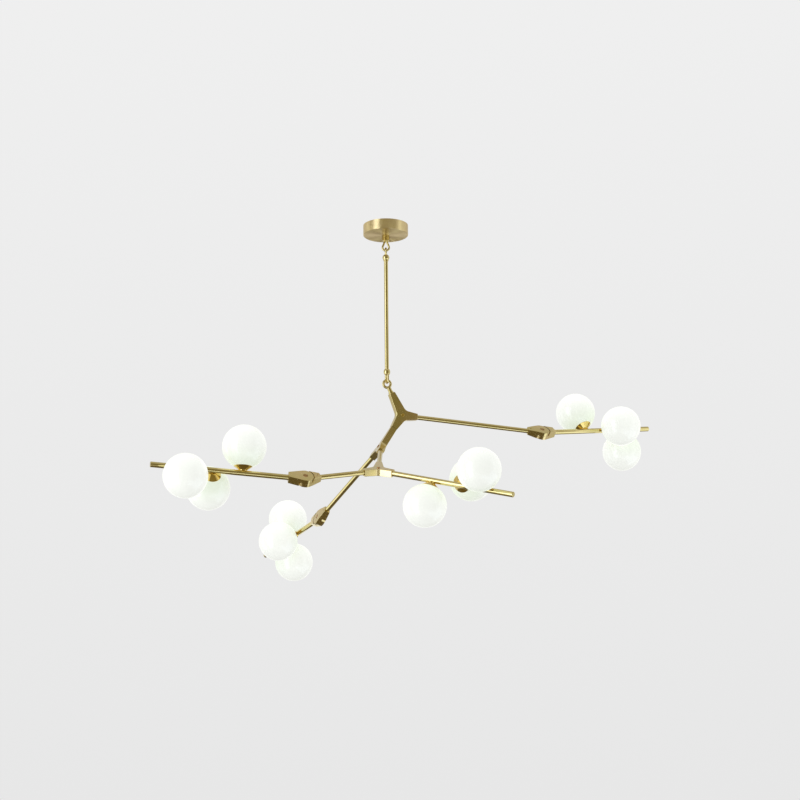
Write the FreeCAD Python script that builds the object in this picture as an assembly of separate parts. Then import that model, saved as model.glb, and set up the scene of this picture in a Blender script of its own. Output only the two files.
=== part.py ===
# Branch chandelier: a canopy, a hanging rod, three Y hubs, three elbowed arms and twelve opal globes.
# Millimetres, +Z up. The origin is on the ceiling plane, on the canopy's axis; all hangs below it.
import FreeCAD, Part
import math
import os
from FreeCAD import Placement, Rotation, Vector

# Ceiling canopy and what it hides
CANOPY_D = 114.0
CANOPY_H = 26.0
CANOPY_WALL = 1.2
CROSSBAR_INSET = 9.0         # canopy's edge to the crossbar's end
CROSSBAR_W = 20.0
CROSSBAR_T = 2.0
SLOT_INSET = 13.0            # crossbar's end to the middle of a slot
SLOT_LEN = 12.0
SLOT_W = 4.5
NIPPLE_D = 10.0
NIPPLE_BORE = 7.0
NIPPLE_GRIP = 10.0           # length of nipple in the stub
LOCKNUT_FLATS = 14.0
LOCKNUT_H = 4.0
BLOCK_GAP = 6.0              # locknut to terminal block
BLOCK_LEN = 30.0
BLOCK_W = 13.0
BLOCK_H = 12.0
# Hanging chain: stub, eyes, loops and down rod
STUB_D = 18.5
STUB_LEN = 15.0
EYE_SHOULDER = 2.5           # stub's lower end to the ceiling eye's hole
CEILING_EYE_W = 11.5         # hole width
CEILING_EYE_H = 21.0         # hole height
CEILING_EYE_WIRE = 5.0
LOOP_WIRE = 5.5
LOOP_HOLE_W = 9.0
BALL_D = 17.5
BALL_REACH = 18.6            # lowest wire of the ceiling eye to the ball's middle
ROD_D = 10.0
ROD_WALL = 1.0
FERRULE_D = 16.5             # at its middle
FERRULE_END_D = 13.5
FERRULE_LEN = 12.5
FERRULE_SOCKET = 9.0         # length of rod socket in the ferrule
FERRULE_REACH = 24.5         # middle of the hub eye to the ferrule's lower end
HUB_EYE_DROP = 390.0         # underside of the canopy to the middle of the hub eye
HUB_EYE_HOLE = 12.0
HUB_EYE_WIRE = 6.6
HUB_EYE_REACH = 26.0         # middle of the eye to the hub's stem end
NECK_D = 10.5
COLLAR_D = 13.5
COLLAR_LEN = 4.0
SHANK_D = 8.0
# Hubs
HUB_FACE_WALL = 1.5          # metal over a socket on the hub's faces, and below on its sides
HUB_SIDE_WALL = 1.25
HUB_ARM = 40.0               # hub centre to the end of a side arm
HUB_STEM = 61.0              # hub centre to the end of the stem
HUB_ROOT_W = 27.0            # width that an arm would have at the hub centre
HUB_FILLET = 17.0
HUB_EDGE = 0.6               # small bevel on the outline's edges
HUB_CAVITY_D = 22.0
HUB_FLOOR = 3.5
COVER_LAND = 1.0             # cover's overlap on the cavity's rim
COVER_T = 2.0
BOSS_D = 8.0
HUB_SCREW_D = 4.0
HUB_SCREW_HEAD_D = 8.0
HUB_SCREW_HEAD_H = 1.4
WIREWAY_D = 6.0
# Rods, and how they are held in their sockets
ARM_ROD_D = 12.0
ARM_ROD_WALL = 1.0
LEFT_ROD = 114.0             # visible lengths, socket to socket
RIGHT_ROD = 305.0
REAR_ROD = 240.0
HUB_LINK = 134.0
SOCKET_DEPTH = 15.0
SOCKET_SPARE = 0.5           # rod end to socket bottom
GRUB_D = 3.0
GRUB_FROM_END = 7.5
GROOVE_W = 3.6
GROOVE_DEPTH = 0.7
# Elbows
ELBOW_LOBE_D = 39.0
ELBOW_NECK = 2.3             # shoulder to socket bottom
INNER_SIDE_WALL = 1.8        # metal beside the rod's socket, and below on its faces
INNER_FACE_WALL = 1.3
OUTER_SIDE_WALL = 3.0        # metal beside the lamp tube's socket, and below on its faces
OUTER_FACE_WALL = 3.0
ELBOW_SWELL = 1.0            # how much thicker the elbow is at its pivot than at the lamp tube
SHOULDER_GAP = 2.2
PIVOT_D = 6.0
PIVOT_HEAD_D = 11.0
PIVOT_HEAD_H = 1.8
# Lamp tubes and lamps
TUBE_D = 13.0
TUBE_WALL = 1.0
LEFT_TUBE_WALL = 2.6         # thicker walls to the left and rear balance the long right arm
REAR_TUBE_WALL = 1.6
TIP_BEVEL = 1.0
TIP_T = 3.0                  # closed end of the tube
FIRST_LAMP = 106.0           # start of the visible tube to the first lamp
LAMP_PITCH = 69.0
TUBE_TAIL = 74.0             # last lamp to the tube's tip
GLOBE_D = 102.0
GLOBE_WALL = 2.0
GLOBE_STANDOFF = 11.0        # lamp tube axis to the globe's nearest point
CUP_BASE_D = 18.0
CUP_RIM_D = 43.0
CUP_WALL = 2.2
CUP_FLOOR_T = 3.0            # lamp tube to the cup's floor
HOLDER_D = 18.0
HOLDER_H = 17.5
BULB_SOCKET = 6.5
BULB_D = 15.0
BULB_LEN = 48.5
RING_NUT_D = 28.0
RING_NUT_H = 3.0
WIRE_HOLE_D = 5.0
# Clearances
RUNNING = 0.05               # radial, where a pin or rod turns in its bore
FIXED = 0.02                 # radial, where a rod is clamped
LOOSE = 0.2                  # radial, round covers, bulbs and screw shanks
HEAD_CLEAR = 0.3             # radial, round a sunk screw head
HEAD_SUNK = 0.2              # sunk head below its face
MOUTH_CLEAR = 1.2            # radial, globe's mouth round the lampholder
SEAM = 0.2                   # between the flat ends of two pieces that turn on each other
SEAT = 0.05                  # glass on its cup
HANG = 0.2                   # between an eye and the loop that hangs in it
GROOVE_CLEAR = 0.15          # between a groove's floor and the grub screw in it
# Pose of the hubs, elbows and lamps, degrees
UPPER_TURN = 21.0            # upper hub about the vertical
UPPER_NOD = 3.5
UPPER_LEAN = -27.5
MIDDLE_TURN = -95.5          # middle hub about its stem
LOWER_TURN = 56.0            # lower hub about the link
LEFT_TURN, LEFT_BEND, LEFT_ROLL = 66.5, -18.0, 139.0
REAR_TURN, REAR_BEND, REAR_ROLL = 73.5, -17.5, 48.0
RIGHT_TURN, RIGHT_BEND, RIGHT_ROLL = 40.0, 15.0, 17.5
FRONT_ROLL = -29.5
LAMP_ANGLES = (0.0, 120.0, -120.0)

# Sizes that follow from these
THICKEST_ROD = max(ARM_ROD_D, TUBE_D)
HUB_T = THICKEST_ROD + 2 * HUB_FACE_WALL
HUB_END_W = THICKEST_ROD + 2 * HUB_SIDE_WALL
HUB_STEM_W = ARM_ROD_D + 2 * HUB_SIDE_WALL
COVER_D = HUB_CAVITY_D + 2 * COVER_LAND
ELBOW_REACH = ELBOW_LOBE_D / 2 + SHOULDER_GAP + ELBOW_NECK + SOCKET_DEPTH   # pivot to either end
INNER_END_W = ARM_ROD_D + 2 * INNER_SIDE_WALL
INNER_END_T = ARM_ROD_D + 2 * INNER_FACE_WALL
OUTER_END_W = TUBE_D + 2 * OUTER_SIDE_WALL
OUTER_END_T = TUBE_D + 2 * OUTER_FACE_WALL
ELBOW_T = max(INNER_END_T, OUTER_END_T) + ELBOW_SWELL
CROSSBAR_LEN = CANOPY_D - 2 * CROSSBAR_INSET
SLOT_PITCH = CROSSBAR_LEN - 2 * SLOT_INSET
TUBE_LEN = FIRST_LAMP + (len(LAMP_ANGLES) - 1) * LAMP_PITCH + TUBE_TAIL     # visible length
GLOBE_REACH = GLOBE_D / 2 + GLOBE_STANDOFF                                  # tube axis to globe centre
CUP_FLOOR = TUBE_D / 2 + CUP_FLOOR_T                                        # tube axis to cup's floor
# Heights along the hanging chain
EYE_HOLE_TOP = -CANOPY_H - STUB_LEN - EYE_SHOULDER
EYE_Z = EYE_HOLE_TOP - CEILING_EYE_H - CEILING_EYE_WIRE / 2                 # ceiling eye's lowest wire
BALL_Z = EYE_Z - BALL_REACH
HUB_EYE_Z = -CANOPY_H - HUB_EYE_DROP
LOW_LOOP_Z = HUB_EYE_Z + HUB_EYE_HOLE / 2 - HANG - LOOP_WIRE / 2            # lower loop's lowest wire
FERRULE_Z = HUB_EYE_Z + FERRULE_REACH

X, Y, Z = Vector(1, 0, 0), Vector(0, 1, 0), Vector(0, 0, 1)
O = Vector(0, 0, 0)
STEM, RIGHT_ARM, LEFT_ARM = -90.0, 30.0, 150.0   # arm directions in a hub's face, about its Y


def turn(axis, degrees):
    return Placement(O, Rotation(axis, degrees))


def move(x=0.0, y=0.0, z=0.0):
    return Placement(Vector(x, y, z), Rotation())


def placed(shape, frame):
    return shape.transformed(frame.toMatrix(), True)


def cyl(d, start, end, axis=Z, at=O):
    """Cylinder of diameter d from start to end along an axis through the point at."""
    return Part.makeCylinder(d / 2, end - start, at + axis * start, axis)


def turned(profile):
    """Solid of revolution about Z of a closed (radius, height) outline."""
    points = [Vector(r, 0, z) for r, z in profile]
    return Part.Face(Part.makePolygon(points + points[:1])).revolve(O, Z, 360)


def slab(outline, start, end, axis=Z):
    """Closed outline of points in the plane across the axis, extruded from start to end."""
    face = Part.Face(Part.makePolygon(outline + outline[:1]))
    face.translate(axis * start)
    return face.extrude(axis * (end - start))


def fused(*shapes):
    return shapes[0].multiFuse(list(shapes[1:])).removeSplitter()


def link(hole_w, hole_h, wire):
    """Chain link in the XZ plane about the origin, round or stretched along Z."""
    r = (hole_w + wire) / 2
    half = (hole_h - hole_w) / 2
    if half <= 0:
        return Part.makeTorus(r, wire / 2, O, Y)
    parts = []
    for side in (1, -1):
        ring = Part.Face(Part.Wire(Part.makeCircle(wire / 2, Vector(r, 0, half * side), Z)))
        parts.append(ring.revolve(Vector(0, 0, half * side), Y, -180 * side))
        parts.append(cyl(wire, -half, half, Z, Vector(r * side, 0, 0)))
    return fused(*parts)


def slotted_head(d, h, z):
    """Screw head on the plane z, with a straight slot across it."""
    head = cyl(d, z, z + h)
    head = head.makeChamfer(0.3, [e for e in head.Edges if e.BoundBox.ZMin > z + h - 0.01])
    return head.cut(Part.makeBox(d + 2, 1.0, h / 2 + 1, Vector(-d / 2 - 1, -0.5, z + h / 2)))


# ------------------------------------------------------------------ ceiling
def crossbar():
    bar = Part.makeBox(CROSSBAR_LEN, CROSSBAR_W, CROSSBAR_T,
                       Vector(-CROSSBAR_LEN / 2, -CROSSBAR_W / 2, -CROSSBAR_T))
    bar = bar.cut(cyl(NIPPLE_D + 2 * FIXED, -CROSSBAR_T - 1, 1))
    reach = (SLOT_LEN - SLOT_W) / 2
    for side in (-1, 1):
        x = side * SLOT_PITCH / 2
        slot = Part.makeBox(2 * reach, SLOT_W, 10, Vector(x - reach, -SLOT_W / 2, -5))
        for end in (-reach, reach):
            slot = slot.fuse(cyl(SLOT_W, -5, 5, Z, Vector(x + end, 0, 0)))
        bar = bar.cut(slot)
    return bar


def canopy():
    r, w, h = CANOPY_D / 2, CANOPY_WALL, CANOPY_H
    hole = NIPPLE_D / 2 + LOOSE
    return turned([(hole, -h), (r - 0.8, -h), (r, -h + 0.8), (r, 0), (r - w, 0), (r - w, -h + w),
                   (hole, -h + w)])


def nipple():
    end = -CANOPY_H - NIPPLE_GRIP
    return cyl(NIPPLE_D, end, 0).cut(cyl(NIPPLE_BORE, end - 1, 1))


def locknut():
    top = -CANOPY_H + CANOPY_WALL
    r = LOCKNUT_FLATS / math.sqrt(3)
    corners = [Vector(r * math.cos(math.radians(60 * k)), r * math.sin(math.radians(60 * k)), 0)
               for k in range(6)]
    return slab(corners, top, top + LOCKNUT_H).cut(cyl(NIPPLE_D, top - 1, top + LOCKNUT_H + 1))


def terminal_block():
    x0 = LOCKNUT_FLATS / math.sqrt(3) + BLOCK_GAP
    block = Part.makeBox(BLOCK_LEN, BLOCK_W, BLOCK_H,
                         Vector(x0, -BLOCK_W / 2, -CROSSBAR_T - BLOCK_H))
    for k in range(3):
        x = x0 + BLOCK_LEN * (k + 0.5) / 3
        block = block.cut(cyl(3.2, -BLOCK_W, BLOCK_W, Y, Vector(x, 0, -CROSSBAR_T - BLOCK_H * 0.55)))
        block = block.cut(cyl(4.0, -CROSSBAR_T - BLOCK_H - 1, -CROSSBAR_T - BLOCK_H * 0.6, Z,
                              Vector(x, 0, 0)))
    return block


def drop_eye(hole_w, hole_h, wire):
    """Drop-shaped eye in the XZ plane, pointed at its top; the origin is the middle of its round end."""
    r, inner = (hole_w + wire) / 2, hole_w / 2
    apex = (hole_h - inner) * r / inner
    a = math.degrees(math.asin(r / apex))
    ring = Part.Face(Part.Wire(Part.makeCircle(wire / 2, Vector(r, 0, 0), Z)))
    arc = placed(ring.revolve(O, Y, 180 + 2 * a), turn(Y, -a))
    parts = [arc]
    for side in (1, -1):
        t = math.radians(a)
        foot = Vector(side * r * math.cos(t), 0, r * math.sin(t))
        top = Vector(0, 0, apex)
        parts.append(Part.makeCylinder(wire / 2, foot.distanceToPoint(top), foot, top - foot))
    return fused(*parts)


def ceiling_eye():
    top = -CANOPY_H
    stub = cyl(STUB_D, top - STUB_LEN, top)
    eye = placed(drop_eye(CEILING_EYE_W, CEILING_EYE_H, CEILING_EYE_WIRE),
                 move(z=EYE_Z + (CEILING_EYE_W + CEILING_EYE_WIRE) / 2))
    return fused(stub, eye).cut(cyl(NIPPLE_D, top - NIPPLE_GRIP, top + 1))


# ----------------------------------------------------------------- down rod
def rod_top_eye():
    hole_top = EYE_Z + CEILING_EYE_WIRE / 2 + HANG
    hole_h = hole_top - (BALL_Z + BALL_D / 2) - 0.5
    loop = placed(link(LOOP_HOLE_W, hole_h, LOOP_WIRE), move(z=hole_top - hole_h / 2) * turn(Z, 90))
    ball = Part.makeSphere(BALL_D / 2, Vector(0, 0, BALL_Z))
    low = BALL_Z - BALL_D / 2
    body = fused(ball, loop, cyl(ROD_D + 3, low, BALL_Z))
    return body.cut(cyl(ROD_D + 2 * FIXED, low - 5, BALL_Z))


def down_rod():
    top = BALL_Z - SOCKET_SPARE
    low = FERRULE_Z + FERRULE_LEN - FERRULE_SOCKET
    return cyl(ROD_D, low, top).cut(cyl(ROD_D - 2 * ROD_WALL, low - 1, top + 1))


def barrel(middle_d, end_d, low, high):
    """Solid of revolution about Z whose side bulges from the ends to the middle."""
    ends = [Vector(end_d / 2, 0, z) for z in (low, high)]
    side = Part.Arc(ends[0], Vector(middle_d / 2, 0, (low + high) / 2), ends[1]).toShape()
    rest = Part.makePolygon([ends[1], Vector(0, 0, high), Vector(0, 0, low), ends[0]])
    return Part.Face(Part.Wire([side] + rest.Edges)).revolve(O, Z, 360)


def rod_bottom_eye():
    ferrule = barrel(FERRULE_D, FERRULE_END_D, FERRULE_Z, FERRULE_Z + FERRULE_LEN)
    hole_low = LOW_LOOP_Z + LOOP_WIRE / 2
    hole_h = FERRULE_Z - 1.0 - hole_low
    loop = placed(link(LOOP_HOLE_W, hole_h, LOOP_WIRE),
                  turn(Z, UPPER_TURN + 90) * move(z=hole_low + hole_h / 2))
    body = fused(ferrule, loop)
    socket_low = FERRULE_Z + FERRULE_LEN - FERRULE_SOCKET - SOCKET_SPARE
    return body.cut(cyl(ROD_D + 2 * FIXED, socket_low, FERRULE_Z + FERRULE_LEN + 1))


# --------------------------------------------------------------------- hubs
def arm_frame(hub, direction, distance=0.0):
    """Frame whose X runs out along a hub's arm, its origin at that distance from the hub centre."""
    return hub * turn(Y, direction) * move(distance)


def next_hub(arm, distance, degrees):
    """Frame of a hub whose stem points back along an arm."""
    return arm * move(distance) * turn(Y, -90) * turn(Z, degrees)


def hub_outline():
    def edge_point(direction, reach, half):
        a = math.radians(direction)
        out, side = Vector(math.cos(a), 0, -math.sin(a)), Vector(math.sin(a), 0, math.cos(a))
        return out * reach + side * half

    def corner(arm1, arm2):
        (d1, reach1, w1), (d2, reach2, w2) = arm1, arm2
        p1, q1 = edge_point(d1, 0, -HUB_ROOT_W / 2), edge_point(d1, reach1, -w1 / 2)
        p2, q2 = edge_point(d2, 0, HUB_ROOT_W / 2), edge_point(d2, reach2, w2 / 2)
        a, b, c = q1 - p1, q2 - p2, p2 - p1
        k = (c.x * b.z - c.z * b.x) / (a.x * b.z - a.z * b.x)
        return p1 + a * k

    arms = [(STEM, HUB_STEM, HUB_STEM_W), (RIGHT_ARM, HUB_ARM, HUB_END_W), (LEFT_ARM, HUB_ARM, HUB_END_W)]
    points, corners = [], []
    for k, (direction, reach, w) in enumerate(arms):
        points += [edge_point(direction, reach, w / 2), edge_point(direction, reach, -w / 2)]
        corners.append(corner(arms[k], arms[(k + 1) % 3]))
        points.append(corners[-1])
    return points, corners


def hub_blank():
    points, corners = hub_outline()
    blank = slab(points, -HUB_T / 2, HUB_T / 2, Y)
    inner = [e for e in blank.Edges
             if any(abs(e.BoundBox.XMin - c.x) + abs(e.BoundBox.ZMin - c.z) < 0.05
                    and e.BoundBox.YLength > HUB_T - 0.1 for c in corners)]
    blank = blank.makeFillet(HUB_FILLET, inner)
    rim = [e for e in blank.Edges if e.BoundBox.YLength < 0.01]
    return blank.makeChamfer(HUB_EDGE, rim)


def rod_socket(direction, reach, bore):
    """Socket for a rod in the end of a hub arm, with its grub screw hole from the back."""
    frame = arm_frame(Placement(), direction, reach)
    shapes = [placed(cyl(bore, -SOCKET_DEPTH, 1, X), frame),
              placed(cyl(WIREWAY_D, -reach, -SOCKET_DEPTH + 1, X), frame),
              placed(cyl(GRUB_D, 0, HUB_T, Y), frame * move(-GRUB_FROM_END))]
    return shapes


def hub_body(stem_bore, right_bore, left_bore, spigot=False):
    body = hub_blank()
    cuts = []
    for direction, reach, bore in ((STEM, HUB_STEM, stem_bore), (RIGHT_ARM, HUB_ARM, right_bore),
                                   (LEFT_ARM, HUB_ARM, left_bore)):
        if bore:
            cuts += rod_socket(direction, reach, bore)
    if spigot:
        pin = arm_frame(Placement(), STEM, HUB_STEM)
        length = SOCKET_DEPTH - SOCKET_SPARE + SEAM
        spike = cyl(ARM_ROD_D, -1, length, X).cut(groove(ARM_ROD_D, SEAM + GRUB_FROM_END))
        body = fused(body, placed(spike, pin))
        cuts.append(placed(cyl(WIREWAY_D, -HUB_STEM, length + 1, X), pin))
    back = HUB_T / 2
    cuts.append(cyl(HUB_CAVITY_D, -back + HUB_FLOOR, back + 1, Y))
    cuts.append(cyl(COVER_D + 2 * LOOSE, back - COVER_T, back + 1, Y))
    cuts.append(cyl(HUB_SCREW_D + 2 * LOOSE, -back - 1, 0, Y))
    return body.cut(cuts)


def groove(d, x):
    """Ring cut from a rod along X, for the tip of the grub screw in the socket that holds it."""
    outer = cyl(d + 2, x - GROOVE_W / 2, x + GROOVE_W / 2, X)
    return outer.cut(cyl(d - 2 * GROOVE_DEPTH, x - GROOVE_W, x + GROOVE_W, X))


def hub_cover():
    back, front = HUB_T / 2, -HUB_T / 2 + HUB_FLOOR
    disc = cyl(COVER_D, back - COVER_T, back, Y)
    boss = cyl(BOSS_D, front, back - COVER_T / 2, Y)
    return fused(disc, boss).cut(cyl(HUB_SCREW_D, front - 1, back - COVER_T, Y))


def hub_screws(grubs):
    """Face screw, and a grub screw for each socket given as (direction, reach, height of its tip)."""
    face = placed(slotted_head(HUB_SCREW_HEAD_D, HUB_SCREW_HEAD_H, HUB_T / 2), turn(X, 90))
    shank = cyl(HUB_SCREW_D, -HUB_T / 2 - 0.1, HUB_T / 2 - COVER_T - 1.0, Y)
    solids = [fused(face, shank)]
    for direction, reach, tip in grubs:
        frame = arm_frame(Placement(), direction, reach - GRUB_FROM_END)
        grub = cyl(GRUB_D, tip, HUB_T / 2 - 0.4, Y)
        solids.append(placed(grub, frame))
    return Part.makeCompound(solids)


def hub_eye():
    """Round eye above the origin, with its collar and shank running down along -Z."""
    ring = link(HUB_EYE_HOLE, HUB_EYE_HOLE, HUB_EYE_WIRE)
    neck = cyl(NECK_D, -HUB_EYE_REACH, -(HUB_EYE_HOLE + HUB_EYE_WIRE) / 2)
    collar = cyl(COLLAR_D, -HUB_EYE_REACH, -HUB_EYE_REACH + COLLAR_LEN)
    shank = cyl(SHANK_D, -HUB_EYE_REACH - SOCKET_DEPTH + SOCKET_SPARE, -HUB_EYE_REACH + 1)
    return fused(ring, neck, collar, shank)


# --------------------------------------------------------------------- rods
def arm_rod(visible):
    """Rod along X from a hub socket to the next socket; the origin is at the hub arm's end."""
    start, end = -(SOCKET_DEPTH - SOCKET_SPARE), visible + SOCKET_DEPTH - SOCKET_SPARE
    rod = cyl(ARM_ROD_D, start, end, X)
    rod = rod.cut(groove(ARM_ROD_D, -GRUB_FROM_END))
    return rod.cut(cyl(ARM_ROD_D - 2 * ARM_ROD_WALL, start - 1, end + 1, X))


# ------------------------------------------------------------------- elbows
def knuckle(top_lobe, end_w, end_t, socket_bore, pivot_bore):
    """Elbow half along -X with its pivot on Z at the origin; its lobe is above or below z = 0."""
    r, end, half = ELBOW_LOBE_D / 2, -ELBOW_REACH, end_w / 2
    reach = math.hypot(end, half)
    a = math.atan2(half, end) - math.acos(r / reach)
    upper, lower = Vector(r * math.cos(a), r * math.sin(a), 0), Vector(r * math.cos(a), -r * math.sin(a), 0)
    edges = [Part.LineSegment(Vector(end, half, 0), upper).toShape(),
             Part.Arc(upper, Vector(r, 0, 0), lower).toShape(),
             Part.LineSegment(lower, Vector(end, -half, 0)).toShape(),
             Part.LineSegment(Vector(end, -half, 0), Vector(end, half, 0)).toShape()]
    face = Part.Face(Part.Wire(edges))
    face.translate(Z * -ELBOW_T)
    plan = face.extrude(Z * 2 * ELBOW_T)
    t, te = ELBOW_T / 2, end_t / 2
    side = slab([Vector(end, 0, te), Vector(-r * 0.7, 0, t), Vector(r + 1, 0, t), Vector(r + 1, 0, -t),
                 Vector(-r * 0.7, 0, -t), Vector(end, 0, -te)], -r - 1, r + 1, Y)
    body = plan.common(side)
    body = body.makeChamfer(0.5, [e for e in body.Edges if e.CenterOfMass.z > te - 0.1
                                  or e.CenterOfMass.z < -te + 0.1])
    lobe_gap = cyl(2 * (r + SHOULDER_GAP), -ELBOW_T, SEAM / 2)
    if not top_lobe:
        lobe_gap = cyl(2 * (r + SHOULDER_GAP), -SEAM / 2, ELBOW_T)
    cuts = [lobe_gap, cyl(socket_bore, end - 1, end + SOCKET_DEPTH, X),
            cyl(WIREWAY_D, end, -r, X), cyl(pivot_bore, -ELBOW_T, ELBOW_T)]
    if top_lobe:
        cuts.append(cyl(PIVOT_HEAD_D + 2 * HEAD_CLEAR, t - PIVOT_HEAD_H - HEAD_SUNK, t + 1))
    return body.cut(cuts)


def grub_hole(at_x):
    return cyl(GRUB_D, 0, ELBOW_T, Z, Vector(at_x, 0, 0))


def elbow_screws():
    """Pivot screw, and the grub screw that clamps the rod in the inner half."""
    seat = ELBOW_T / 2 - PIVOT_HEAD_H - HEAD_SUNK + SEAM / 2
    head = slotted_head(PIVOT_HEAD_D, PIVOT_HEAD_H, seat)
    pivot = fused(head, cyl(PIVOT_D, -ELBOW_T / 2 + 0.8, seat + 0.1))
    x = -ELBOW_REACH + GRUB_FROM_END
    grub = cyl(GRUB_D, ARM_ROD_D / 2 + FIXED, INNER_END_T / 2 - 0.2, Z, Vector(x, 0, 0))
    return Part.makeCompound([pivot, grub])


# -------------------------------------------------------------------- lamps
def lamp_frames():
    """Frames on a lamp tube along X: origin on its axis, Z out through each lamp."""
    return [move(FIRST_LAMP + k * LAMP_PITCH) * turn(X, angle - 90) for k, angle in enumerate(LAMP_ANGLES)]


def lamp_tube(wall, turns):
    start = -(SOCKET_DEPTH - SOCKET_SPARE)
    tube = cyl(TUBE_D, start, TUBE_LEN, X)
    tube = tube.makeChamfer(TIP_BEVEL, [e for e in tube.Edges if e.BoundBox.XMin > TUBE_LEN - 0.1])
    tube = tube.cut(cyl(TUBE_D - 2 * wall, start - 1, TUBE_LEN - TIP_T, X))
    if turns:
        tube = tube.cut(groove(TUBE_D, -GRUB_FROM_END))
    for frame in lamp_frames():
        tube = tube.cut(placed(cyl(WIRE_HOLE_D, 0, TUBE_D), frame))
    return tube


def lamp_cup():
    base, rim = CUP_BASE_D / 2, CUP_RIM_D / 2
    globe_r = GLOBE_D / 2 + SEAT
    low = TUBE_D / 2 - 2.0
    top = GLOBE_REACH - math.sqrt(globe_r ** 2 - rim ** 2)
    slope = (rim - base) / (top - TUBE_D / 2)

    def wall(height):
        return base + slope * (height - TUBE_D / 2)

    inner = [(0, CUP_FLOOR), (wall(CUP_FLOOR) - CUP_WALL, CUP_FLOOR), (wall(top + 2) - CUP_WALL, top + 2),
             (0, top + 2)]
    cup = turned([(0, low), (base, low), (base, TUBE_D / 2), (wall(top + 2), top + 2), (0, top + 2)])
    cup = cup.cut([turned(inner), Part.makeSphere(globe_r, Vector(0, 0, GLOBE_REACH)),
                   cyl(WIRE_HOLE_D, 0, CUP_FLOOR + 1), cyl(TUBE_D + 2 * FIXED, -50, 50, X)])
    return cup


def lampholder():
    low, high = CUP_FLOOR, CUP_FLOOR + HOLDER_H
    holder = cyl(HOLDER_D, low, high)
    return holder.cut([cyl(BULB_D + 2 * LOOSE, high - BULB_SOCKET, high + 1),
                       cyl(WIRE_HOLE_D, low - 1, high)])


def ring_nut():
    inner = math.sqrt((GLOBE_D / 2 - GLOBE_WALL) ** 2 - (RING_NUT_D / 2) ** 2)
    low = GLOBE_REACH - inner + SEAT
    return cyl(RING_NUT_D, low, low + RING_NUT_H).cut(cyl(HOLDER_D + 2 * FIXED, 0, low + RING_NUT_H + 1))


def bulb():
    low = CUP_FLOOR + HOLDER_H - BULB_SOCKET + LOOSE
    dome = low + BULB_LEN - BULB_D / 2
    return fused(cyl(BULB_D, low, dome), Part.makeSphere(BULB_D / 2, Vector(0, 0, dome)))


def globe():
    centre = Vector(0, 0, GLOBE_REACH)
    shell = Part.makeSphere(GLOBE_D / 2, centre).cut(Part.makeSphere(GLOBE_D / 2 - GLOBE_WALL, centre))
    return shell.cut(cyl(HOLDER_D + 2 * MOUTH_CLEAR, 0, GLOBE_REACH))


# ----------------------------------------------------------------- assembly
def lamp_branch(name, tube_frame, turns, wall, nodes):
    frames = [tube_frame * f for f in lamp_frames()]
    nodes[name + "_lamp_tube"] = placed(lamp_tube(wall, turns), tube_frame)
    nodes[name + "_cups"] = Part.makeCompound([placed(lamp_cup(), f) for f in frames])
    holders = [placed(s, f) for f in frames for s in (lampholder(), ring_nut())]
    nodes[name + "_lampholders"] = Part.makeCompound(holders)
    nodes[name + "_bulbs"] = Part.makeCompound([placed(bulb(), f) for f in frames])
    for k, f in enumerate(frames):
        nodes["%s_globe_%d" % (name, k + 1)] = placed(globe(), f)


def elbowed_branch(name, arm, rod_length, angles, outer_on_top, wall, nodes):
    """Rod, elbow and lamp tube from the end of a hub arm."""
    degrees, bend, roll = angles
    rod = arm * turn(X, degrees)
    pivot = rod * move(rod_length + ELBOW_REACH)
    outer = pivot * turn(Z, bend)
    nodes[name + "_rod"] = placed(arm_rod(rod_length), rod)
    inner_half = knuckle(not outer_on_top, INNER_END_W, INNER_END_T, ARM_ROD_D + 2 * FIXED, PIVOT_D)
    inner_half = inner_half.cut(grub_hole(-ELBOW_REACH + GRUB_FROM_END))
    outer_half = knuckle(outer_on_top, OUTER_END_W, OUTER_END_T, TUBE_D + 2 * FIXED,
                         PIVOT_D + 2 * RUNNING)
    nodes[name + "_elbow_inner"] = placed(inner_half, pivot)
    nodes[name + "_elbow_outer"] = placed(outer_half, outer * turn(Z, 180))
    nodes[name + "_elbow_screws"] = placed(elbow_screws(), pivot)
    lamp_branch(name, outer * move(ELBOW_REACH) * turn(X, roll), False, wall, nodes)


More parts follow.
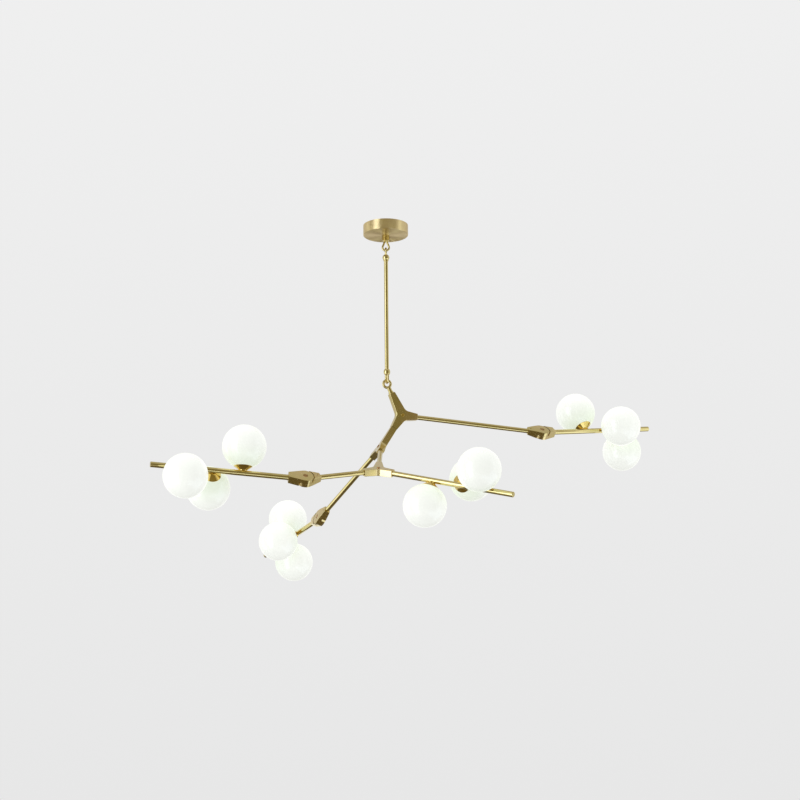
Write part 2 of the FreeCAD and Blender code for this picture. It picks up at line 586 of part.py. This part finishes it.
def build():
    nodes = {"ceiling_crossbar": crossbar(), "canopy_cup": canopy(), "canopy_nipple": nipple(),
             "canopy_locknut": locknut(), "terminal_block": terminal_block(),
             "ceiling_eye": ceiling_eye(), "rod_top_eye": rod_top_eye(), "down_rod": down_rod(),
             "rod_bottom_eye": rod_bottom_eye()}
    tilt = turn(Z, UPPER_TURN) * turn(X, UPPER_NOD) * turn(Y, UPPER_LEAN)
    eye = move(z=HUB_EYE_Z) * tilt
    upper = eye * move(z=-HUB_EYE_REACH - HUB_STEM)
    middle = next_hub(arm_frame(upper, LEFT_ARM, HUB_ARM), HUB_STEM + SEAM, MIDDLE_TURN)
    lower = next_hub(arm_frame(middle, RIGHT_ARM, HUB_ARM), HUB_LINK + HUB_STEM, LOWER_TURN)
    running, clamped = ARM_ROD_D + 2 * RUNNING, ARM_ROD_D + 2 * FIXED
    tube_bore = TUBE_D + 2 * RUNNING
    nodes["hub_eye"] = placed(hub_eye(), eye)
    in_groove = GROOVE_CLEAR - GROOVE_DEPTH
    left = (LEFT_ARM, HUB_ARM, ARM_ROD_D / 2 + in_groove)
    right = (RIGHT_ARM, HUB_ARM, ARM_ROD_D / 2 + in_groove)
    tube = (RIGHT_ARM, HUB_ARM, TUBE_D / 2 + in_groove)
    eye_clamp, link_clamp = [(STEM, HUB_STEM, d / 2 + FIXED) for d in (SHANK_D, ARM_ROD_D)]
    hubs = (("upper", upper, hub_body(SHANK_D + 2 * FIXED, running, running), (left, right, eye_clamp)),
            ("middle", middle, hub_body(None, running, running, spigot=True), (left, right)),
            ("lower", lower, hub_body(clamped, tube_bore, running), (left, tube, link_clamp)))
    for name, frame, body, grubs in hubs:
        nodes[name + "_hub_body"] = placed(body, frame)
        nodes[name + "_hub_cover"] = placed(hub_cover(), frame)
        nodes[name + "_hub_screws"] = placed(hub_screws(grubs), frame)
    nodes["hub_link"] = placed(arm_rod(HUB_LINK), arm_frame(middle, RIGHT_ARM, HUB_ARM))
    elbowed_branch("left", arm_frame(lower, LEFT_ARM, HUB_ARM), LEFT_ROD,
                   (LEFT_TURN, LEFT_BEND, LEFT_ROLL), True, LEFT_TUBE_WALL, nodes)
    elbowed_branch("rear", arm_frame(middle, LEFT_ARM, HUB_ARM), REAR_ROD,
                   (REAR_TURN, REAR_BEND, REAR_ROLL), False, REAR_TUBE_WALL, nodes)
    elbowed_branch("right", arm_frame(upper, RIGHT_ARM, HUB_ARM), RIGHT_ROD,
                   (RIGHT_TURN, RIGHT_BEND, RIGHT_ROLL), False, TUBE_WALL, nodes)
    lamp_branch("front", arm_frame(lower, RIGHT_ARM, HUB_ARM) * turn(X, FRONT_ROLL), True,
                TUBE_WALL, nodes)
    return nodes


os.makedirs("parts", exist_ok=True)
for node, shape in build().items():
    shape.exportStep("parts/%s.step" % node)
    print(node, len(shape.Solids), shape.isValid(), round(shape.Volume / 1000, 2))
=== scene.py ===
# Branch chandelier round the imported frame: satin and polished brass, lit opal globes, a pale studio.
# Metres, +Z up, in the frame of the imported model.
import math

import bpy
import numpy as np
from mathutils import Matrix, Vector


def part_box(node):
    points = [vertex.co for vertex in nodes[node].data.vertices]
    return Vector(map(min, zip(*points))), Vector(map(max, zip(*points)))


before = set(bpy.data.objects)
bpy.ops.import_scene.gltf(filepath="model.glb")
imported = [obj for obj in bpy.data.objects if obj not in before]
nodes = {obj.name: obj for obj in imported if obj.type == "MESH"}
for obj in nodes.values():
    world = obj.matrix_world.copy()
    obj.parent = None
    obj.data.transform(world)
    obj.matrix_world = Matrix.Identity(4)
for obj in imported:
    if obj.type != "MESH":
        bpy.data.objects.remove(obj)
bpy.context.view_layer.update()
scene = bpy.context.scene

# Camera: worked out from the photograph's perspective
CAMERA_AT = (0.0320, -4.4522, -1.5297)
CAMERA_PITCH = 13.54            # degrees above the horizontal, looking along +Y
CAMERA_ROLL = -0.6
LENS = 82.72                    # on a 36 mm wide sensor

# Studio
FLOOR_Z = -2.4
FLOOR_HALF = 30.0
BACKGROUND_LOW = 0.80           # pale background at the frame's lower and upper edge, linear
BACKGROUND_HIGH = 0.865
LOW_SIGHT, HIGH_SIGHT = 0.02, 0.435   # upward part of the sight lines there
AMBIENT = 0.5
LAMP_MIDDLE = (0.0, 0.0, -0.45)
# Painted reflections that only glossy rays see and that light nothing: the dark patches paint the dark brown
# reflections on the brass, the bright ones its highlights; key and fill stand for the softboxes, which the metal does
# not mirror.
MIRRORED = (                    # name, azimuths, heights, colour, distance
    ("room", (-180, 180), (-90, 90), (0.55, 0.53, 0.48), 9.0),
    ("backdrop", (95, 265), (-22, 36), (0.66, 0.65, 0.62), 8.8),
    # painted dark reflection under the lamp, far darker and browner than the pale floor itself
    ("floor", (-180, 180), (-90, -58), (0.14, 0.11, 0.055), 8.6),
    # painted dark reflection, low and behind the lamp
    ("dark_reflection_low_behind", (135, 268), (-60, -26), (0.15, 0.13, 0.09), 8.6),
    # painted bright reflection low on the right, with no lamp there
    ("bright_reflection_low_right", (18, 118), (-58, -15), (1.25, 1.35, 1.5), 8.4),
    # painted dark brown reflection on the camera's side
    ("dark_reflection_by_camera", (-34, 60), (-35, 37), (0.25, 0.215, 0.12), 8.0),
    ("key", (-63, -35), (-44, 26), (2.4, 2.6, 3.0), 7.8),
    # painted bright reflection on the left, with no lamp there
    ("bright_reflection_left", (-112, -90), (-37, 7), (1.25, 1.3, 1.35), 7.8),
    ("fill", (74, 86), (-14, 33), (1.05, 1.07, 1.08), 7.8),
)

# Colours, linear
BRASS = (0.78, 0.645, 0.305)
BRASS_OLIVE = (0.70, 0.59, 0.25)
BRASS_ROSE = (0.80, 0.63, 0.33)
CANOPY_BRASS = (0.92, 0.75, 0.38)
GOLD = (0.88, 0.68, 0.24)
GOLD_DEEP = (0.74, 0.53, 0.13)
SCREW = (0.62, 0.38, 0.16)
SCREW_DARK = (0.42, 0.24, 0.09)
ZINC = (0.62, 0.63, 0.64)
CERAMIC = (0.86, 0.85, 0.81)
OPAL = (0.50, 0.515, 0.48)
GLOW = (0.98, 1.0, 0.955)
# painted shade: the dimmer, greener glow where the ring nut shades the globe's mouth
GLOW_SHADED_AT_MOUTH = (0.84, 0.94, 0.76)


# ------------------------------------------------------------------- studio
def add_camera():
    data = bpy.data.cameras.new("camera")
    data.sensor_fit, data.sensor_width, data.lens = "HORIZONTAL", 36.0, LENS
    data.clip_start, data.clip_end = 0.1, 60.0
    camera = bpy.data.objects.new("camera", data)
    pitched = Matrix.Rotation(math.radians(90 + CAMERA_PITCH), 3, "X")
    rolled = pitched @ Matrix.Rotation(math.radians(CAMERA_ROLL), 3, "Z")
    camera.location = CAMERA_AT
    camera.rotation_euler = rolled.to_euler()
    scene.collection.objects.link(camera)
    scene.camera = camera


def softbox(name, at, target, size, power):
    """Light that the metal shows only through the mirrored patches."""
    data = bpy.data.lights.new(name, "AREA")
    data.shape, data.size, data.size_y = "RECTANGLE", size[0], size[1]
    data.energy = power
    lamp = bpy.data.objects.new(name, data)
    lamp.location = at
    lamp.rotation_euler = (Vector(target) - Vector(at)).to_track_quat("-Z", "Y").to_euler()
    lamp.visible_glossy = False
    scene.collection.objects.link(lamp)


class Nodes:
    """Short calls for building one node tree."""

    def __init__(self, tree):
        self.tree = tree
        tree.nodes.clear()

    def add(self, kind, inputs=None, **settings):
        node = self.tree.nodes.new(kind)
        for key, value in settings.items():
            setattr(node, key, value)
        for key, value in (inputs or {}).items():
            self.join(value, node.inputs[key])
        return node

    def join(self, value, socket):
        if isinstance(value, bpy.types.NodeSocket):
            self.tree.links.new(value, socket)
        else:
            socket.default_value = value

    def maths(self, operation, a, b=0.0):
        return self.add("ShaderNodeMath", {0: a, 1: b}, operation=operation).outputs[0]

    def seen_by_eye_or_mirror(self):
        """1 for camera, glossy and transmission rays, 0 for the rays that light things."""
        path = self.add("ShaderNodeLightPath").outputs
        seen = self.maths("MAXIMUM", path["Is Camera Ray"], path["Is Glossy Ray"])
        return self.maths("MAXIMUM", seen, path["Is Transmission Ray"])


def background_colour(n, upward):
    ramp = n.add("ShaderNodeMapRange", {"Value": upward, "From Min": LOW_SIGHT, "From Max": HIGH_SIGHT,
                                        "To Min": BACKGROUND_LOW, "To Max": BACKGROUND_HIGH})
    return ramp.outputs["Result"]


def add_world():
    world = bpy.data.worlds.new("studio")
    scene.world = world
    world.use_nodes = True
    n = Nodes(world.node_tree)
    coord = n.add("ShaderNodeTexCoord")
    split = n.add("ShaderNodeSeparateXYZ", {0: coord.outputs["Generated"]})
    shown = n.add("ShaderNodeBackground", {"Color": background_colour(n, split.outputs["Z"])})
    light = n.add("ShaderNodeBackground", {"Color": (1, 1, 1, 1), "Strength": AMBIENT})
    mix = n.add("ShaderNodeMixShader", {0: n.seen_by_eye_or_mirror(), 1: light.outputs[0], 2: shown.outputs[0]})
    n.add("ShaderNodeOutputWorld", {"Surface": mix.outputs[0]})


def panel(name, corners, faces=((0, 1, 2, 3),)):
    mesh = bpy.data.meshes.new(name)
    mesh.from_pydata(corners, [], faces)
    o = bpy.data.objects.new(name, mesh)
    scene.collection.objects.link(o)
    return o


def add_floor():
    h = FLOOR_HALF
    floor = panel("floor", [(-h, -h, FLOOR_Z), (h, -h, FLOOR_Z), (h, h, FLOOR_Z), (-h, h, FLOOR_Z)])
    m = bpy.data.materials.new("floor")
    m.use_nodes = True
    n = Nodes(m.node_tree)
    cloud = n.add("ShaderNodeTexNoise", {"Scale": 0.6, "Detail": 2.0})
    tone = n.add("ShaderNodeMapRange", {"Value": cloud.outputs["Fac"], "To Min": 0.74, "To Max": 0.78})
    matt = n.add("ShaderNodeBsdfDiffuse", {"Color": tone.outputs["Result"], "Roughness": 0.5})
    n.add("ShaderNodeOutputMaterial", {"Surface": matt.outputs[0]})
    floor.data.materials.append(m)
    # the metal mirrors the painted reflections below instead of this pale floor
    floor.visible_glossy = False


def reflection(name, azimuths, heights, colour, distance):
    """Painted reflection that only the metal mirrors and that lights nothing: part of a sphere round the lamp, in
    degrees.

    Azimuth 0 is towards the camera and grows to its right; height is above the horizontal.
    """
    across, up = 24, 12
    corners, faces = [], []
    for i in range(up + 1):
        el = math.radians(heights[0] + (heights[1] - heights[0]) * i / up)
        for j in range(across + 1):
            az = math.radians(azimuths[0] + (azimuths[1] - azimuths[0]) * j / across)
            ray = Vector((math.sin(az) * math.cos(el), -math.cos(az) * math.cos(el), math.sin(el)))
            corners.append(Vector(LAMP_MIDDLE) + distance * ray)
            if i < up and j < across:
                a = i * (across + 1) + j
                faces.append((a, a + 1, a + across + 2, a + across + 1))
    card = panel("painted_reflection_" + name, corners, faces)
    m = bpy.data.materials.new("painted_reflection_" + name)
    m.use_nodes = True
    n = Nodes(m.node_tree)
    glow = n.add("ShaderNodeEmission", {"Color": (*colour, 1), "Strength": 1.0})
    n.add("ShaderNodeOutputMaterial", {"Surface": glow.outputs[0]})
    m.cycles.emission_sampling = "NONE"
    card.data.materials.append(m)
    card.visible_camera = card.visible_diffuse = card.visible_shadow = False
    card.visible_transmission = card.visible_volume_scatter = False


# ---------------------------------------------------------------- materials
def grain_frame(node):
    """Middle of a node and the turn that brings its longest direction onto X and its thinnest onto Z."""
    mesh = nodes[node].data
    points = np.empty(len(mesh.vertices) * 3, np.float32)
    mesh.vertices.foreach_get("co", points)
    points = points.reshape(-1, 3).astype(float)
    middle = (points.min(axis=0) + points.max(axis=0)) / 2
    spread = points - points.mean(axis=0)
    _, axes = np.linalg.eigh(spread.T @ spread)
    long, wide = axes[:, 2], axes[:, 1]
    thin = np.cross(long, wide)
    return Vector(middle), Matrix((long, wide, thin))


def new_material(name):
    m = bpy.data.materials.new(name)
    m.use_nodes = True
    return m, Nodes(m.node_tree)


def local_coords(n, node):
    """Object coordinates turned into the node's own grain frame."""
    middle, turn = grain_frame(node)
    coord = n.add("ShaderNodeTexCoord")
    shift = -(turn @ middle)
    return n.add("ShaderNodeMapping", {"Vector": coord.outputs["Object"], "Location": shift,
                                       "Rotation": turn.to_euler()}).outputs[0]


def ring_coords(n, node):
    """Radius, height and a constant about the vertical through the node's middle, for lathe marks."""
    middle, _ = grain_frame(node)
    coord = n.add("ShaderNodeTexCoord")
    split = n.add("ShaderNodeSeparateXYZ", {0: coord.outputs["Object"]})
    x = n.maths("SUBTRACT", split.outputs["X"], middle.x)
    y = n.maths("SUBTRACT", split.outputs["Y"], middle.y)
    radius = n.maths("SQRT", n.maths("ADD", n.maths("MULTIPLY", x, x), n.maths("MULTIPLY", y, y)))
    return n.add("ShaderNodeCombineXYZ", {0: radius, 1: split.outputs["Z"]}).outputs[0]


def metal(name, node, colours, roughness, grain, lathe=False, marks=0.1, aniso=0.0, edge=0.0005):
    """Metal with a slow change of tone, fine tool marks along the grain and softened edges."""
    m, n = new_material(name)
    coords = ring_coords(n, node) if lathe else local_coords(n, node)
    place = n.add("ShaderNodeTexCoord").outputs["Object"]
    patina = n.add("ShaderNodeTexNoise", {"Vector": place, "Scale": 21.0, "Detail": 3.0, "Roughness": 0.55})
    tone = n.add("ShaderNodeMapRange", {"Value": patina.outputs["Fac"], "From Min": 0.35, "From Max": 0.65})
    colour = n.add("ShaderNodeMix", {"Factor": tone.outputs["Result"], "A": (*colours[0], 1),
                                     "B": (*colours[1], 1)}, data_type="RGBA")
    stretched = n.add("ShaderNodeVectorMath", {0: coords, 1: grain}, operation="MULTIPLY").outputs[0]
    lines = n.add("ShaderNodeTexNoise", {"Vector": stretched, "Scale": 1.0, "Detail": 4.0, "Roughness": 0.6})
    specks = n.add("ShaderNodeTexNoise", {"Vector": place, "Scale": 240.0, "Detail": 2.0})
    worn = n.add("ShaderNodeMapRange", {"Value": lines.outputs["Fac"], "From Min": 0.3, "From Max": 0.7,
                                        "To Min": 0.93, "To Max": 1.05})
    shade = n.add("ShaderNodeVectorMath", {0: colour.outputs["Result"], "Scale": worn.outputs["Result"]},
                  operation="SCALE")
    rough = n.add("ShaderNodeMapRange", {"Value": lines.outputs["Fac"], "From Min": 0.25, "From Max": 0.75,
                                         "To Min": roughness * 0.78, "To Max": roughness * 1.22})
    rough = n.maths("ADD", rough.outputs["Result"],
                    n.maths("MULTIPLY", n.maths("SUBTRACT", patina.outputs["Fac"], 0.5), 0.12))
    height = n.maths("ADD", lines.outputs["Fac"], n.maths("MULTIPLY", specks.outputs["Fac"], 0.25))
    soft = n.add("ShaderNodeBevel", {"Radius": edge}, samples=4)
    bump = n.add("ShaderNodeBump", {"Height": height, "Strength": marks, "Distance": 0.0004,
                                    "Normal": soft.outputs[0]})
    inputs = {"Base Color": shade.outputs[0], "Metallic": 1.0, "Roughness": rough, "Normal": bump.outputs[0],
              "Anisotropic": aniso, "Coat Weight": 0.08, "Coat Roughness": 0.12}
    if lathe and aniso:
        inputs["Tangent"] = n.add("ShaderNodeTangent", direction_type="RADIAL", axis="Z").outputs[0]
        inputs["Anisotropic Rotation"] = 0.25
    body = n.add("ShaderNodeBsdfPrincipled", inputs)
    n.add("ShaderNodeOutputMaterial", {"Surface": body.outputs[0]})
    return m


def brass_drawn(node):
    return metal("brass_" + node, node, (BRASS_OLIVE, BRASS), 0.1, (8.0, 700.0, 700.0), marks=0.008, edge=0.0003)


def brass_cast(node):
    return metal("brass_" + node, node, (BRASS_OLIVE, BRASS_ROSE), 0.17, (60.0, 900.0, 900.0), marks=0.02,
                 edge=0.0002)


def brass_turned(node):
    return metal("brass_" + node, node, (BRASS_OLIVE, BRASS), 0.08, (900.0, 900.0, 1.0), lathe=True, marks=0.008,
                 edge=0.0003)


def brass_canopy(node):
    return metal("brass_" + node, node, (CANOPY_BRASS, BRASS_ROSE), 0.44, (1300.0, 1300.0, 1.0), lathe=True, marks=0.01,
                 aniso=0.92, edge=0.0005)


def brass_cup(node):
    return metal("brass_" + node, node, (GOLD_DEEP, GOLD), 0.07, (300.0, 300.0, 300.0), marks=0.01,
                 edge=0.0003)


def screw_metal(node):
    colours = (GOLD_DEEP, GOLD) if node == "upper_hub_screws" else (SCREW_DARK, SCREW)
    return metal("brass_" + node, node, colours, 0.3, (700.0, 700.0, 700.0), marks=0.1, edge=0.0002)


def zinc(node):
    return metal("zinc_" + node, node, (ZINC, tuple(c * 0.85 for c in ZINC)), 0.4, (500.0, 500.0, 500.0))


def ceramic(node):
    """Matt white porcelain with a faint mottle."""
    m, n = new_material("ceramic_" + node)
    place = n.add("ShaderNodeTexCoord").outputs["Object"]
    mottle = n.add("ShaderNodeTexNoise", {"Vector": place, "Scale": 260.0, "Detail": 3.0})
    shade = n.add("ShaderNodeMapRange", {"Value": mottle.outputs["Fac"], "To Min": 0.9, "To Max": 1.04})
    colour = n.add("ShaderNodeVectorMath", {0: CERAMIC, "Scale": shade.outputs["Result"]}, operation="SCALE")
    bump = n.add("ShaderNodeBump", {"Height": mottle.outputs["Fac"], "Strength": 0.1, "Distance": 0.0003})
    body = n.add("ShaderNodeBsdfPrincipled", {"Base Color": colour.outputs[0], "Roughness": 0.45,
                                              "Normal": bump.outputs[0]})
    n.add("ShaderNodeOutputMaterial", {"Surface": body.outputs[0]})
    return m


def bulb_glass(node):
    """Frosted capsule, lit."""
    m, n = new_material("bulb_" + node)
    place = n.add("ShaderNodeTexCoord").outputs["Object"]
    frost = n.add("ShaderNodeTexNoise", {"Vector": place, "Scale": 900.0, "Detail": 2.0})
    rough = n.add("ShaderNodeMapRange", {"Value": frost.outputs["Fac"], "To Min": 0.35, "To Max": 0.6})
    body = n.add("ShaderNodeBsdfPrincipled", {"Base Color": (0.9, 0.9, 0.86, 1), "Roughness": rough.outputs[0],
                                              "Emission Color": (1.0, 0.96, 0.86, 1), "Emission Strength": 0.6})
    n.add("ShaderNodeOutputMaterial", {"Surface": body.outputs[0]})
    return m


def lamp_axis(branch):
    """A point on a branch's lamp tube and the unit vector along it."""
    middle, turn = grain_frame(branch + "_lamp_tube")
    return middle, turn[0].normalized()


def opal(node, branch):
    """Lit opal glass glowing white in place of the bulb's light through it, with painted shade of the ring nut towards
    its mouth at the lamp tube: a little greener and dimmer there.
    """
    low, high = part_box(node)
    centre = (Vector(low) + Vector(high)) / 2
    point, along = lamp_axis(branch)
    foot = point + along * (centre - point).dot(along)
    to_mouth = (foot - centre).normalized()
    m, n = new_material("opal_" + node)
    place = n.add("ShaderNodeTexCoord").outputs["Object"]
    from_centre = n.add("ShaderNodeVectorMath", {0: place, 1: centre}, operation="SUBTRACT").outputs[0]
    outward = n.add("ShaderNodeVectorMath", {0: from_centre}, operation="NORMALIZE").outputs[0]
    facing = n.add("ShaderNodeVectorMath", {0: outward, 1: to_mouth}, operation="DOT_PRODUCT").outputs["Value"]
    # painted shade of the ring nut, growing towards the mouth
    mouth_shade = n.add("ShaderNodeMapRange", {"Value": facing, "From Min": -0.1, "From Max": 1.0},
                 interpolation_type="SMOOTHSTEP").outputs["Result"]
    cloud = n.add("ShaderNodeTexNoise", {"Vector": place, "Scale": 38.0, "Detail": 3.0})
    cloudy = n.maths("MULTIPLY", n.maths("SUBTRACT", cloud.outputs["Fac"], 0.5), 0.22)
    mouth_shade = n.maths("ADD", mouth_shade, cloudy)
    glow = n.add("ShaderNodeMix", {"Factor": mouth_shade, "A": (*GLOW, 1), "B": (*GLOW_SHADED_AT_MOUTH, 1)}, data_type="RGBA")
    ripple = n.add("ShaderNodeTexNoise", {"Vector": place, "Scale": 60.0, "Detail": 1.0})
    rough = n.add("ShaderNodeMapRange", {"Value": cloud.outputs["Fac"], "To Min": 0.2, "To Max": 0.34})
    bump = n.add("ShaderNodeBump", {"Height": ripple.outputs["Fac"], "Strength": 0.04, "Distance": 0.002})
    body = n.add("ShaderNodeBsdfPrincipled", {"Base Color": (*OPAL, 1), "Roughness": rough.outputs["Result"],
                                              "Normal": bump.outputs[0], "Coat Weight": 0.25,
                                              "Coat Roughness": 0.1, "Emission Color": glow.outputs["Result"],
                                              "Emission Strength": 0.58})
    n.add("ShaderNodeOutputMaterial", {"Surface": body.outputs[0]})
    return m


DRAWN = ("down_rod", "hub_link", "left_rod", "rear_rod", "right_rod", "left_lamp_tube", "rear_lamp_tube",
         "right_lamp_tube", "front_lamp_tube")
TURNED = ("ceiling_eye", "rod_top_eye", "rod_bottom_eye", "hub_eye")
ZINCED = ("ceiling_crossbar", "canopy_nipple", "canopy_locknut")


def finish_of(node):
    if "_globe_" in node:
        return opal(node, node.split("_")[0])
    if node.endswith("_bulbs"):
        return bulb_glass(node)
    if node.endswith("_lampholders") or node == "terminal_block":
        return ceramic(node)
    if node in ZINCED:
        return zinc(node)
    if node in DRAWN:
        return brass_drawn(node)
    if node in TURNED:
        return brass_turned(node)
    if node == "canopy_cup":
        return brass_canopy(node)
    if node.endswith("_cups"):
        return brass_cup(node)
    if node.endswith("_screws"):
        return screw_metal(node)
    return brass_cast(node)


for node, o in nodes.items():
    o.data.materials.clear()
    o.data.materials.append(finish_of(node))

add_world()
add_camera()
add_floor()
softbox("key", (-2.45, -2.1, -0.6), LAMP_MIDDLE, (1.3, 2.8), 40)
softbox("fill", (2.9, -0.5, -0.3), LAMP_MIDDLE, (0.8, 2.0), 18)
softbox("top", (0, 0.2, 2.2), LAMP_MIDDLE, (2.6, 2.6), 46)
for name, azimuths, heights, colour, distance in MIRRORED:
    reflection(name, azimuths, heights, colour, distance)

scene.view_settings.view_transform = "Standard"
